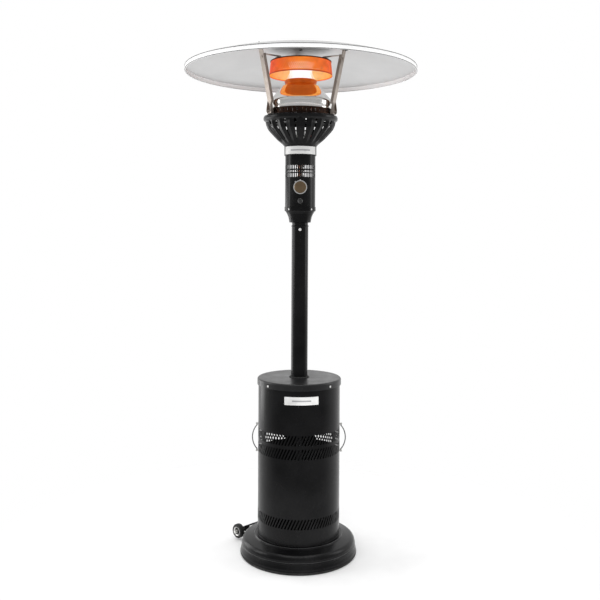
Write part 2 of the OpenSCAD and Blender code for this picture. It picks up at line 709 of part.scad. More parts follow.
burner_port_count = 40;
module burner_pan() color([0.5, 0.25, 0.12]) difference() {
    spun_skin([[venturi_r + 0.1, burner_z], [burner_r - 6, burner_z], [burner_r - 1, burner_z + 5],
        [burner_r - 1, burner_z + 14]]);
    for (i = [0 : burner_port_count - 1]) rotate([0, 0, i * 360 / burner_port_count])
        translate([burner_r - 1, 0, burner_z + 9.5]) rotate([0, 90, 0])
            cylinder(r = 1.5, h = 8, center = true, $fn = 16);
}

module burner_cap() color([0.6, 0.3, 0.14]) spun_skin(concat(
    [[burner_r + 1, burner_z + 14.6]],
    arc([burner_r - 4, burner_z + 21], 5, 0, 90, 4), [[24, burner_z + 28], [4, burner_z + 29]]));

// ---- Emitter bell ----

module emitter_band() color(hot) spun_skin([[emitter_r, emitter_z], [emitter_top_r, emitter_top_z]], 1);

module emitter_top() color([0.25, 0.13, 0.1]) difference() {
    spun_skin(concat(
        [[emitter_top_r + 1.9, emitter_top_z - 3], [emitter_top_r + 1.9, emitter_top_z + 1.5]],
        [[emitter_top_r - 12, emitter_top_z + 2.5], [90, emitter_top_z + 8], [40, emitter_top_z + 11],
         [4, emitter_top_z + 12]]), 1);
    around(bar_turns()) translate([arm_bolt_r, 0, emitter_top_z]) cylinder(r = 2.8, h = 10);
}

// A point on a bar's inner face, at height z
function bar_r(z) = bar_low_r + (z - bar_low_z) * tan(bar_lean);
arm_z = emitter_top_z + 12;

// The bolt that joins a bar to its arm, square to the bar's inner face
module at_arm_bolt() translate([bar_r(arm_z - 12), 0, arm_z - 12]) rotate([0, bar_lean, 0]) children();

module emitter_arms() color(steel) around(bar_turns()) difference() {
    union() {
        translate([emitter_top_r - 26, -9, arm_z]) cube([bar_r(arm_z) - emitter_top_r + 24, 18, 2.5]);
        translate([emitter_top_r - 26, -9, emitter_top_z + 5]) cube([2.5, 18, 9]);
        translate([emitter_top_r - 26, -9, emitter_top_z + 5]) cube([22, 18, 2.5]);
        translate([bar_r(arm_z - 22) - 4, 0, arm_z - 22]) rotate([0, bar_lean, 0])
            translate([-1, -9, 0]) cube([2.5, 18, 24]);
    }
    translate([arm_bolt_r, 0, emitter_top_z]) cylinder(r = 2.6, h = 10);
    at_arm_bolt() rotate([0, 90, 0]) cylinder(r = 2.6, h = 30, center = true);
}

// ---- Bars and reflector ----

module reflector_bars() color(steel) around(bar_turns()) difference() {
    union() {
        translate([bar_low_r, -bar_w / 2, bar_low_z]) rotate([0, bar_lean, 0]) {
            cube([bar_t, bar_w, bar_length]);
            for (y = [0, bar_w - 2]) translate([-bar_fold, y, fold_low])
                cube([bar_fold + 1, 2, bar_length - fold_low - fold_high]);
        }
        translate([bar_low_r, -bar_w / 2, bar_low_z - 0.5]) cube([16, bar_w, 3]);
        translate([bar_high_r - 12, -bar_w / 2, bar_high_z - 3]) cube([28, bar_w, 3]);
        for (side = [-1, 1]) translate([bar_low_r + 1, side * (bar_w / 2 - 1) + 1, bar_low_z])
            rotate([90, 0, 0]) linear_extrude(2) polygon([[0, 0], [15, 0], [20, 8], [20, 20], [15, 56]]);
    }
    translate([stud_r, 0, bar_high_z - 10]) cylinder(r = 3.2, h = 20);
    translate([bar_low_r + 6, 0, wing_z]) rotate([0, 90, 0]) cylinder(r = 3.2, h = 30, center = true);
    at_arm_bolt() rotate([0, 90, 0]) cylinder(r = 2.6, h = 30, center = true);
}

// Wing screw along +X, its collar starting at the origin and its thread reaching back
module wing_screw(reach) {
    translate([-reach, 0, 0]) rotate([0, 90, 0]) cylinder(r = 3, h = reach + 16);
    rotate([0, 90, 0]) cylinder(r = 5, h = 7);
    for (side = [-1, 1]) translate([3, side * 7.5, 0]) rotate([0, 90, 0]) cylinder(r = 5, h = 3);
}

module bar_fasteners() color(steel) around(bar_turns()) {
    translate([bar_r(wing_z + 5) + bar_t + 0.4, 0, wing_z]) wing_screw(16);
    at_arm_bolt() translate([bar_t + 0.05, 0, 0]) pan_screw(2.4, 4.8, 12);
    translate([arm_bolt_r, 0, emitter_top_z + 2.5]) {
        cylinder(r = 2.4, h = 8);
        translate([0, 0, 5.1]) cylinder(r = 4.6, h = 3, $fn = 6);
    }
}

module reflector() color(pale) difference() {
    union() {
        intersection() {
            difference() {
                translate([0, 0, dish_z]) sphere(r = dish_r, $fn = 360);
                translate([0, 0, dish_z]) sphere(r = dish_r - sheet_t, $fn = 360);
            }
            translate([0, 0, 2200]) cylinder(r = reflector_r, h = 200, $fn = wide_fn);
        }
        tube(reflector_r, sheet_t, dish_height(reflector_r) - rim_drop, rim_drop + 0.5, $fn = wide_fn);
        translate([0, 0, dish_height(reflector_r) - rim_drop]) rotate_extrude($fn = wide_fn)
            translate([reflector_r - 1.5, 0]) circle(r = 2.2, $fn = 32);
    }
    around(bar_turns()) translate([stud_r, 0, 2300]) cylinder(r = 3.2, h = 60);
    translate([0, 0, 2300]) cylinder(r = 3.2, h = 60);
}

module reflector_nuts() color(bright) {
    around(bar_turns()) translate([stud_r, 0, bar_high_z - 3]) {
        translate([0, 0, -4]) cylinder(r = 6, h = 4, $fn = 6);
        cylinder(r = 3, h = 30);
        translate([0, 0, 8]) cylinder(r = 6, h = 9);
    }
    translate([0, 0, dish_height(0) - 3]) {
        cylinder(r = 7, h = 2.8);
        cylinder(r = 3, h = 12);
        translate([0, 0, 3.3 + sheet_t]) cylinder(r = 7, h = 4);
    }
}

base_trim();
base_cover();
base_weight();
base_plate();
wheel_bracket();
wheel_axle();
axle_caps();
left_wheel_hub();
left_wheel_tyre();
right_wheel_hub();
right_wheel_tyre();
support_legs();
hub_plate();
frame_bolts();
post_tube();
gas_pipe();
inlet_fitting();
housing_shell();
housing_lid();
lid_screws();
lid_grommet();
housing_badge();
handle_eyes();
left_handle();
right_handle();
head_funnel();
head_collar();
head_screws();
control_housing();
control_panel();
knob_bezel();
gas_valve();
valve_follower();
valve_spring();
valve_stem();
control_knob();
igniter_body();
igniter_spring();
igniter_button();
ignition_lead();
tilt_switch();
orifice_holder();
burner_tube();
pilot_tube();
thermocouple();
neck_collar();
neck_badge();
burner_bowl();
bowl_flange();
screen_ring();
deflector_cone();
burner_pan();
burner_cap();
emitter_band();
emitter_top();
emitter_arms();
reflector_bars();
bar_fasteners();
reflector();
reflector_nuts();
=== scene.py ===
"""Looks of the outdoor heater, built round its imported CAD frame. Metres, +Z up, controls towards -Y."""
import json
import math

import bmesh
import bpy
from mathutils import Matrix, Vector


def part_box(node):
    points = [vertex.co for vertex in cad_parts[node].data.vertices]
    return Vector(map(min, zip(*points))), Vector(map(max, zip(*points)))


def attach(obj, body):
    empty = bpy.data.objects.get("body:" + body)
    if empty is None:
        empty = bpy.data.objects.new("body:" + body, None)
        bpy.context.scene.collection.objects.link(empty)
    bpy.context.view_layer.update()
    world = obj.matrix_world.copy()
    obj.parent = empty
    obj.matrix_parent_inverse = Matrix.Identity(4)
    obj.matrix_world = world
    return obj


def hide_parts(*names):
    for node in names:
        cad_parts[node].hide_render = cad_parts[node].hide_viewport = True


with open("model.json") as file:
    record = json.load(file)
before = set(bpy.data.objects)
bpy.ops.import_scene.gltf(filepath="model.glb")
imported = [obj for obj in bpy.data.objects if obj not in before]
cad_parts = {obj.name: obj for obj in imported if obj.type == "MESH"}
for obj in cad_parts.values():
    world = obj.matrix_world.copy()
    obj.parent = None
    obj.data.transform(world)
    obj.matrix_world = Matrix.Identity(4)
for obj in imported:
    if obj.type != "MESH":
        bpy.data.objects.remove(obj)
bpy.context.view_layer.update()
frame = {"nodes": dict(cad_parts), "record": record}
NODES = frame["nodes"]
TURN = 2 * math.pi


# ---- Camera, light and floor ----

FLOOR_DROP = 0.0005
CAMERA_AT = (0.0, -3.70, 1.507)
CAMERA_LENS = 47.5
CAMERA_SHIFT_Y = -0.1193
CAMERA_ROLL = math.radians(0.31)


def make_camera():
    data = bpy.data.cameras.new("camera")
    data.lens = CAMERA_LENS
    data.sensor_width = 36
    data.shift_y = CAMERA_SHIFT_Y
    camera = bpy.data.objects.new("camera", data)
    camera.matrix_world = (Matrix.Translation(CAMERA_AT) @ Matrix.Rotation(math.pi / 2, 4, "X")
                           @ Matrix.Rotation(CAMERA_ROLL, 4, "Z"))
    bpy.context.scene.collection.objects.link(camera)
    bpy.context.scene.camera = camera


def area_light(name, at, aim, size, power, mirrored=True):
    data = bpy.data.lights.new(name, "AREA")
    data.shape = "RECTANGLE"
    data.size, data.size_y = size
    data.energy = power
    light = bpy.data.objects.new(name, data)
    light.location = at
    light.rotation_euler = (Vector(aim) - Vector(at)).to_track_quat("-Z", "Y").to_euler()
    light.visible_glossy = mirrored
    bpy.context.scene.collection.objects.link(light)


def make_studio():
    """A white backdrop behind the object, a dim room in front of it, and softboxes beside and above it."""
    world = bpy.data.worlds.new("studio")
    bpy.context.scene.world = world
    world.use_nodes = True
    t = Tree(world.node_tree)
    direction = t.add("ShaderNodeSeparateXYZ", Vector=t.add("ShaderNodeTexCoord").outputs["Generated"])
    backness = t.ramp(direction.outputs["Y"], [(0.35, (0.42,) * 3), (0.62, (1.0,) * 3)], span=(-1, 1))
    seen = t.add("ShaderNodeLightPath").outputs["Is Camera Ray"]
    sky = t.mix(seen, backness, (1, 1, 1, 1))
    background = t.add("ShaderNodeBackground", Color=sky)
    t.link(background.outputs[0], t.add("ShaderNodeOutputWorld").inputs["Surface"])
    area_light("left softbox", (-2.6, 0.0, 1.9), (0, 0, 1.6), (0.9, 1.8), 18)
    area_light("right softbox", (2.6, 0.1, 1.9), (0, 0, 1.6), (0.9, 1.8), 13)
    area_light("left back softbox", (-2.3, 1.4, 0.9), (0, 0, 0.5), (1.2, 1.8), 16)
    area_light("top softbox", (0, -0.6, 4.2), (0, 0, 0), (3.0, 3.0), 75)
    area_light("front fill", (0, -4.2, 2.2), (0, 0, 1.3), (3.0, 2.4), 70, mirrored=False)


def make_floor():
    """A pale round floor that fades out, so it has no edge."""
    bm = bmesh.new()
    bmesh.ops.create_circle(bm, cap_ends=True, segments=96, radius=2.2)
    mesh = bpy.data.meshes.new("floor")
    bm.to_mesh(mesh)
    bm.free()
    floor = bpy.data.objects.new("floor", mesh)
    floor.location.z = -FLOOR_DROP
    bpy.context.scene.collection.objects.link(floor)
    m, t = new_material("floor")
    point = t.add("ShaderNodeTexCoord").outputs["Object"]
    fade = t.ramp(t.distance_out(point), [(0.30, (1, 1, 1)), (0.75, (0, 0, 0))], span=(0, 2.0))
    t.surface(base=t.noise_mix(point, 6, (0.93, 0.93, 0.93), (0.9, 0.9, 0.9)), rough=0.9, alpha=fade)
    mesh.materials.append(m)


# ---- Material nodes ----

class Tree:
    """Short calls for making shader nodes."""

    def __init__(self, tree):
        self.nodes = tree.nodes
        self.links = tree.links
        self.nodes.clear()

    def link(self, a, b):
        self.links.new(a, b)

    def add(self, kind, **inputs):
        node = self.nodes.new(kind)
        for key, value in inputs.items():
            self.put(node.inputs[key.replace("_", " ")], value)
        return node

    def put(self, socket, value):
        if isinstance(value, bpy.types.NodeSocket):
            self.link(value, socket)
        elif isinstance(value, (tuple, list)) and socket.type == "RGBA" and len(value) == 3:
            socket.default_value = (*value, 1)
        else:
            socket.default_value = value

    def ramp(self, value, stops, span=(0, 1)):
        """A colour ramp over span, with stops of (place from 0 to 1, colour)."""
        fit = self.add("ShaderNodeMapRange", Value=value)
        fit.inputs["From Min"].default_value, fit.inputs["From Max"].default_value = span
        node = self.add("ShaderNodeValToRGB", Fac=fit.outputs[0])
        for i, (place, colour) in enumerate(stops):
            stop = node.color_ramp.elements[i] if i < 2 else node.color_ramp.elements.new(place)
            stop.position = place
            stop.color = (*colour, 1)
        return node.outputs["Color"]

    def mix(self, factor, a, b):
        node = self.add("ShaderNodeMix")
        node.data_type = "RGBA"
        self.put(node.inputs["Factor"], factor)
        self.put(node.inputs["A"], a)
        self.put(node.inputs["B"], b)
        return node.outputs["Result"]

    def math(self, operation, a, b):
        node = self.add("ShaderNodeMath")
        node.operation = operation
        self.put(node.inputs[0], a)
        self.put(node.inputs[1], b)
        return node.outputs[0]

    def stretched(self, point, stretch):
        return self.add("ShaderNodeMapping", Vector=point, Scale=stretch).outputs[0]

    def noise(self, point, scale, detail=3.0, rough=0.55):
        node = self.add("ShaderNodeTexNoise", Vector=point, Scale=scale, Detail=detail, Roughness=rough)
        return node.outputs[0]

    def noise_mix(self, point, scale, a, b):
        return self.ramp(self.noise(point, scale), [(0.35, a), (0.65, b)])

    def distance_out(self, point):
        """How far a point is from the upright axis."""
        node = self.add("ShaderNodeVectorMath", Vector=self.stretched(point, (1, 1, 0)))
        node.operation = "LENGTH"
        return node.outputs["Value"]

    def bump(self, height, strength, distance):
        return self.add("ShaderNodeBump", Height=height, Strength=strength, Distance=distance).outputs[0]

    def surface(self, base, rough, metallic=0.0, normal=None, coat=0.0, coat_rough=0.1, specular=0.5,
                alpha=None, glow=None, glow_strength=0.0):
        node = self.add("ShaderNodeBsdfPrincipled", Metallic=metallic, Roughness=rough)
        self.put(node.inputs["Base Color"], base)
        node.inputs["Specular IOR Level"].default_value = specular
        node.inputs["Coat Weight"].default_value = coat
        node.inputs["Coat Roughness"].default_value = coat_rough
        if normal is not None:
            self.link(normal, node.inputs["Normal"])
        if alpha is not None:
            self.link(alpha, node.inputs["Alpha"])
        if glow is not None:
            self.put(node.inputs["Emission Color"], glow)
            node.inputs["Emission Strength"].default_value = glow_strength
        self.link(node.outputs[0], self.add("ShaderNodeOutputMaterial").inputs["Surface"])


def new_material(name):
    m = bpy.data.materials.new(name)
    m.use_nodes = True
    return m, Tree(m.node_tree)


def enamel(name, colour, rough, coat=0.0, peel=0.25, dust=0.3, specular=0.5):
    """Sprayed enamel on sheet steel: fine orange peel, uneven gloss, faint dust and rubbed patches."""
    m, t = new_material(name)
    point = t.add("ShaderNodeTexCoord").outputs["Object"]
    tint = t.noise_mix(point, 7, colour, [c * 1.5 + 0.004 for c in colour])
    specks = t.ramp(t.noise(point, 420, 2), [(0.66, (0, 0, 0)), (0.74, (1, 1, 1))])
    base = t.mix(t.math("MULTIPLY", specks, dust), tint, (0.22, 0.21, 0.2, 1))
    gloss = t.ramp(t.noise(point, 11, 4), [(0.3, (rough * 0.85,) * 3), (0.75, (min(rough * 1.3, 1),) * 3)])
    normal = t.bump(t.noise(point, 650, 2), peel, 0.0003)
    t.surface(base, gloss, normal=normal, coat=coat, coat_rough=0.12, specular=specular)
    return m


def bare_metal(name, colour, stain, rough, stretch=(1, 1, 1), scratch=0.35, metallic=1.0):
    """Uncoated metal with stains, and with drawn or spun lines along the axes where stretch is small."""
    m, t = new_material(name)
    point = t.add("ShaderNodeTexCoord").outputs["Object"]
    lines = t.noise(t.stretched(point, stretch), 160, 4, 0.7)
    base = t.mix(t.ramp(t.noise(point, 26, 4), [(0.42, (0, 0, 0)), (0.8, (1, 1, 1))]), colour, stain)
    gloss = t.ramp(lines, [(0.25, (rough * 0.7,) * 3), (0.8, (min(rough * 1.5, 1),) * 3)])
    normal = t.bump(lines, scratch, 0.0002)
    t.surface(base, gloss, metallic=metallic, normal=normal)
    return m


def moulded(name, colour, rough, grain=900, depth=0.3):
    """Moulded rubber or plastic: a fine sparkle grain, scuffs and uneven gloss."""
    m, t = new_material(name)
    point = t.add("ShaderNodeTexCoord").outputs["Object"]
    base = t.noise_mix(point, 30, colour, [c * 1.8 + 0.006 for c in colour])
    gloss = t.ramp(t.noise(point, 45, 3), [(0.3, (rough * 0.8,) * 3), (0.7, (min(rough * 1.2, 1),) * 3)])
    t.surface(base, gloss, normal=t.bump(t.noise(point, grain, 2), depth, 0.0002))
    return m


def glowing(name, colour, dark, strength, metallic=0.6):
    """Steel at red heat: patchy glow over a scaled, oxidised skin."""
    m, t = new_material(name)
    point = t.add("ShaderNodeTexCoord").outputs["Object"]
    patches = t.noise(point, 60, 4)
    glow = t.ramp(patches, [(0.3, dark), (0.62, colour)])
    normal = t.bump(t.noise(point, 500, 3), 0.4, 0.0003)
    t.surface((0.32, 0.09, 0.015), 0.4, metallic=metallic, normal=normal, glow=glow, glow_strength=strength)
    return m


def sheet_finish(name, skin, top_shade_colour, hem, hem_from):
    """Satin spun sheet: fine rings, cloudy stains and a paler rolled hem beyond hem_from; faces that point up
    get a darker colour, painted shade on the sheet's top.
    """
    m, t = new_material(name)
    point = t.add("ShaderNodeTexCoord").outputs["Object"]
    radius = t.distance_out(point)
    outside = t.ramp(radius, [(0.4, (0, 0, 0)), (0.6, (1, 1, 1))], span=(hem_from, hem_from + 0.004))
    facing_way = t.add("ShaderNodeSeparateXYZ", Vector=t.add("ShaderNodeNewGeometry").outputs["Normal"])
    # Painted shade: faces that point up are mixed towards the darker top colour.
    top_shade_mask = t.ramp(facing_way.outputs["Z"], [(0.52, (0, 0, 0)), (0.6, (1, 1, 1))], span=(-1, 1))
    stains_and_top_shade = t.mix(top_shade_mask, t.noise_mix(point, 5, skin, [c * 0.94 for c in skin]), (*top_shade_colour, 1))
    rings = t.noise(t.add("ShaderNodeCombineXYZ", X=radius).outputs[0], 320, 3)
    gloss = t.ramp(rings, [(0.2, (0.42,) * 3), (0.8, (0.56,) * 3)])
    bare = t.math("SUBTRACT", 1.0, outside)
    normal = t.bump(rings, 0.12, 0.0002)
    t.surface(t.mix(outside, stains_and_top_shade, hem), gloss, metallic=bare, normal=normal)
    return m


def hot_mesh(name, left, middle, right, hem, height, reach, strength):
    """Perforated sheet at orange heat: redder towards its hems and patchy, with its glow dimmed from the
    middle towards the left and right as painted shade on the drum's sides.
    """
    m, t = new_material(name)
    point = t.add("ShaderNodeTexCoord").outputs["Object"]
    place = t.add("ShaderNodeSeparateXYZ", Vector=point)
    # Painted shade: the glow runs from the middle colour to the dimmer left and right colours across X.
    across = t.ramp(place.outputs["X"], [(0.05, left), (0.5, middle), (0.95, right)], span=(-reach, reach))
    low, high = height
    hems = [(0.03, (1, 1, 1)), (0.1, (0, 0, 0)), (0.93, (0, 0, 0)), (0.98, (1, 1, 1))]
    edge = t.ramp(place.outputs["Z"], hems, span=(low, high))
    glow = t.mix(edge, across, (*hem, 1))
    patches = t.ramp(t.noise(point, 38, 4), [(0.3, (0.72,) * 3), (0.65, (1.0,) * 3)])
    shade = t.add("ShaderNodeMix", Factor=1.0)
    shade.data_type = "RGBA"
    shade.blend_type = "MULTIPLY"
    t.put(shade.inputs["A"], glow)
    t.put(shade.inputs["B"], patches)
    normal = t.bump(t.noise(point, 500, 3), 0.3, 0.0003)
    t.surface((0.05, 0.015, 0.008), 0.7, metallic=0.0, normal=normal, glow=shade.outputs["Result"],
              glow_strength=strength)
    return m


def flame_glow(name, core, fringe, reach):
    """White-hot gas: solid near the axis and thinning outwards, with upright licks."""
    m, t = new_material(name)
    point = t.add("ShaderNodeTexCoord").outputs["Object"]
    licks = t.noise(t.stretched(point, (1, 1, 0.35)), 60, 4)
    out = t.math("DIVIDE", t.distance_out(point), reach)
    solid = t.math("SUBTRACT", t.math("MULTIPLY", licks, 1.1), t.math("MULTIPLY", out, 0.55))
    alpha = t.ramp(solid, [(0.0, (0.1,) * 3), (0.3, (0.85,) * 3)])
    glow = t.ramp(out, [(0.6, core), (1.0, fringe)])
    t.surface((0, 0, 0), 1.0, glow=glow, glow_strength=1.15, alpha=alpha, specular=0.0)
    return m


MATERIALS = {}


def make_materials():
    rim = radius_of("reflector")
    band_low, band_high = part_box("emitter_band")
    heights, reach = (band_low.z, band_high.z), band_high.x
    MATERIALS["black_enamel"] = enamel("black enamel", (0.0022, 0.0022, 0.0025), 0.22, peel=0.1, dust=0.08,
                                       specular=0.17)
    # Paler enamel for the base cover's rounded edges: a painted highlight along them, on top of their real
    # gloss.
    MATERIALS["edge_enamel"] = enamel("edge enamel", (0.012, 0.012, 0.013), 0.3, peel=0.1, dust=0.05)
    MATERIALS["lid_enamel"] = enamel("lid enamel", (0.006, 0.006, 0.0065), 0.34, coat=0.12, specular=0.3)
    MATERIALS["rubber_trim"] = moulded("rubber trim", (0.006, 0.006, 0.006), 0.75)
    MATERIALS["tyre_rubber"] = moulded("tyre rubber", (0.008, 0.008, 0.008), 0.7)
    MATERIALS["hub_metal"] = bare_metal("hub metal", (0.85, 0.85, 0.85), (0.7, 0.69, 0.66), 0.2)
    MATERIALS["cast_weight"] = moulded("cast weight", (0.06, 0.055, 0.05), 0.8, grain=250, depth=0.8)
    MATERIALS["frame_steel"] = enamel("frame powder coat", (0.02, 0.02, 0.021), 0.55, peel=0.5)
    MATERIALS["bright_zinc"] = bare_metal("bright zinc", (0.95, 0.95, 0.94), (0.8, 0.8, 0.78), 0.3,
                                          metallic=0.3)
    MATERIALS["zinc_steel"] = bare_metal("zinc plate", (0.8, 0.8, 0.78), (0.55, 0.54, 0.5), 0.26)
    MATERIALS["handle_wire"] = bare_metal("handle wire", (0.3, 0.3, 0.3), (0.2, 0.2, 0.19), 0.24,
                                          (1, 1, 0.05))
    MATERIALS["copper_pipe"] = bare_metal("copper pipe", (0.75, 0.3, 0.16), (0.45, 0.16, 0.08), 0.3,
                                          (1, 1, 0.05))
    MATERIALS["valve_brass"] = bare_metal("valve brass", (0.72, 0.52, 0.22), (0.45, 0.32, 0.14), 0.32)
    MATERIALS["badge_plate"] = enamel("badge plate", (0.75, 0.75, 0.74), 0.4, dust=0.05)
    MATERIALS["badge_accent"] = enamel("badge accent", (0.35, 0.35, 0.36), 0.4, dust=0.05)
    MATERIALS["gloss_panel"] = enamel("gloss panel", (0.002, 0.002, 0.0022), 0.5, peel=0.1, specular=0.15)
    MATERIALS["bezel_chrome"] = bare_metal("bezel chrome", (0.85, 0.85, 0.85), (0.75, 0.75, 0.74), 0.12)
    MATERIALS["knob_bronze"] = bare_metal("knob face", (0.27, 0.195, 0.12), (0.2, 0.14, 0.085), 0.42)
    MATERIALS["black_plastic"] = moulded("black plastic", (0.01, 0.01, 0.01), 0.35)
    MATERIALS["lead_insulation"] = moulded("lead sleeve", (0.45, 0.06, 0.03), 0.5)
    MATERIALS["scorched_steel"] = bare_metal("scorched steel", (0.045, 0.024, 0.017), (0.02, 0.013, 0.011),
                                             0.55)
    MATERIALS["cone_mirror"] = bare_metal("polished cone", (0.86, 0.86, 0.85), (0.78, 0.76, 0.72), 0.07,
                                          (0.05, 0.05, 6), scratch=0.06)
    MATERIALS["burner_metal"] = glowing("burner metal", (0.42, 0.06, 0.003), (0.18, 0.016, 0.001), 0.7,
                                        metallic=0.85)
    # The emitter's left and right glow colours are dimmer than its middle one: painted shade on the drum's
    # sides.
    MATERIALS["emitter_glow"] = hot_mesh("emitter outside", (0.9, 0.08, 0.015), (1.0, 0.26, 0.02),
                                         (0.9, 0.12, 0.02), (0.42, 0.02, 0.004), heights, reach, 0.95)
    MATERIALS["emitter_inside"] = hot_mesh("emitter inside", (1.0, 0.34, 0.05), (1.0, 0.6, 0.2),
                                           (1.0, 0.4, 0.06), (0.9, 0.08, 0.01), heights, reach, 1.15)
    MATERIALS["emitter_ceiling"] = glowing("emitter ceiling", (0.62, 0.12, 0.008), (0.3, 0.035, 0.002), 0.75)
    MATERIALS["flame"] = flame_glow("flame", (1.0, 0.96, 1.0), (1.0, 0.7, 0.45), 0.5 * reach)
    MATERIALS["stainless"] = bare_metal("stainless bar", (0.42, 0.37, 0.33), (0.28, 0.235, 0.2), 0.34,
                                        (1, 1, 0.04))
    # The second colour is painted shade for the reflector's upward faces.
    MATERIALS["reflector_sheet"] = sheet_finish("reflector sheet", (0.7,) * 3, (0.36,) * 3, (0.97,) * 3,
                                                rim - 0.006)
    # Dark grey metal: on the hem's beads it is painted shade along the hem's edges; the studs and their nuts
    # use it as well.
    MATERIALS["reflector_bead"] = bare_metal("reflector bead", (0.13, 0.13, 0.13), (0.08, 0.08, 0.08), 0.4)


def dress_nodes():
    """Gives every CAD node the material of its slot in the record."""
    for row in frame["record"]["subparts"]:
        data = NODES[row["node"]].data
        data.materials.clear()
        data.materials.append(MATERIALS[row["material_slot"]])


# ---- Mesh making ----

MERGE = 1e-6


def radius_of(node, low=-1.0, high=9.0):
    """The largest distance from the post's axis of a node's points between two heights."""
    return max(v.co.xy.length for v in NODES[node].data.vertices if low <= v.co.z <= high)


def spin(outline, steps=96, wobble=None, keep=None):
    """A skin spun round +Z from (radius, height) points. steps is a count or a list of turns,
    wobble(turn, height) is added to the radius, and keep(turn, height) says whether a face stays."""
    bm = bmesh.new()
    turns = [TURN * i / steps for i in range(steps)] if isinstance(steps, int) else list(steps)
    rings = []
    for turn in turns:
        ring = []
        for radius, height in outline:
            r = radius + (wobble(turn, height) if wobble else 0.0)
            ring.append(bm.verts.new((r * math.cos(turn), r * math.sin(turn), height)))
        rings.append(ring)
    for i, here in enumerate(rings):
        there = rings[(i + 1) % len(rings)]
        gap = (turns[(i + 1) % len(turns)] - turns[i]) % TURN
        for k in range(len(outline) - 1):
            middle = (outline[k][1] + outline[k + 1][1]) / 2
            if keep is None or keep(turns[i] + gap / 2, middle):
                bm.faces.new((here[k], there[k], there[k + 1], here[k + 1]))
    bmesh.ops.remove_doubles(bm, verts=bm.verts, dist=MERGE)
    return bm


def closed_ring(outline):
    return outline + outline[:1]


def round_section(radius, height, thick, points=12):
    """A closed circle of section, for a bead or a ring of wire."""
    turns = [TURN * i / points for i in range(points)]
    return closed_ring([(radius + thick * math.cos(a), height + thick * math.sin(a)) for a in turns])


def block(size, at=(0, 0, 0), soften=0.0):
    """A box with softened edges."""
    bm = bmesh.new()
    bmesh.ops.create_cube(bm, size=1.0, matrix=Matrix.Translation(at) @ Matrix.Diagonal((*size, 1)))
    if soften:
        bmesh.ops.bevel(bm, geom=bm.edges[:], offset=soften, segments=2, affect="EDGES")
    return bm


def screw(radius, height, shank, reach):
    """A domed head on +Z with a cross recess, and its shank below."""
    steps, bands = 32, 8
    bm = spin([(0, -reach), (shank, -reach), (shank, 0), (radius, 0)], steps)
    rings = []
    for k in range(bands + 1):
        out = 1 - k / bands
        ring = []
        for i in range(steps):
            x, y = out * math.cos(TURN * i / steps), out * math.sin(TURN * i / steps)
            cut = min(abs(x), abs(y)) < 0.14 and max(abs(x), abs(y)) < 0.62
            lift = height * (0.35 + 0.65 * math.sqrt(max(0.0, 1 - out * out))) - (0.55 * height if cut else 0)
            ring.append(bm.verts.new((radius * x, radius * y, lift)))
        rings.append(ring)
    foot = [bm.verts.new((radius * math.cos(TURN * i / steps), radius * math.sin(TURN * i / steps), 0))
            for i in range(steps)]
    for lower, upper in zip([foot] + rings, rings):
        for i in range(steps):
            j = (i + 1) % steps
            bm.faces.new((lower[i], lower[j], upper[j], upper[i]))
    bmesh.ops.remove_doubles(bm, verts=bm.verts, dist=MERGE)
    return bm


def stamp(bm, part, matrix=Matrix.Identity(4), slot=0):
    """Adds a copy of part, placed by matrix, to bm."""
    part.verts.index_update()
    copies = [bm.verts.new(matrix @ v.co) for v in part.verts]
    for face in part.faces:
        bm.faces.new([copies[v.index] for v in face.verts]).material_index = slot
    return bm


def facing(at, direction):
    """Places a part at a point, its +Z along direction."""
    return Matrix.Translation(at) @ Vector(direction).to_track_quat("Z", "Y").to_matrix().to_4x4()


def piece(name, bm, body, slot, replaces=(), materials=None, crease=35):
    """Makes an object of bm, smooth but for its sharp edges, that rides on a body."""
    bmesh.ops.recalc_face_normals(bm, faces=bm.faces)
    mesh = bpy.data.meshes.new(name)
    bm.to_mesh(mesh)
    bm.free()
    mesh.shade_smooth()
    mesh.set_sharp_from_angle(angle=math.radians(crease))
    for key in materials or [slot]:
        mesh.materials.append(MATERIALS[key])
    made = bpy.data.objects.new(name, mesh)
    bpy.context.scene.collection.objects.link(made)
    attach(made, body)
    if replaces:
        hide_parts(*replaces)
    return made


def thicken(made, thick, offset=-1.0, inner_material=0):
    solid = made.modifiers.new("thickness", "SOLIDIFY")
    solid.thickness = thick
    solid.offset = offset
    solid.material_offset = inner_material


def smoothstep(x):
    x = min(max(x, 0.0), 1.0)
    return x * x * (3 - 2 * x)


# ---- Emitter, flame and reflector ----

def make_emitter():
    """A drum of perforated sheet with plain hems."""
    low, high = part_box("emitter_band")
    rows, columns = 22, 300
    foot, top = radius_of("emitter_band", high=low.z + 0.004), radius_of("emitter_band", low=high.z - 0.004)
    outline = [(foot + (top - foot) * k / rows, low.z + (high.z - low.z) * k / rows) for k in range(rows + 1)]

    def keep(turn, height):
        row = int((height - low.z) / (high.z - low.z) * rows)
        column = int(turn / TURN * columns)
        return row % 2 == 0 or row < 2 or row > rows - 3 or (column + row // 2) % 3

    drum = piece("emitter_mesh", spin(outline, columns, keep=keep), "stand", "emitter_glow", ["emitter_band"],
                 ["emitter_glow", "emitter_inside"])
    thicken(drum, 0.001, inner_material=1)


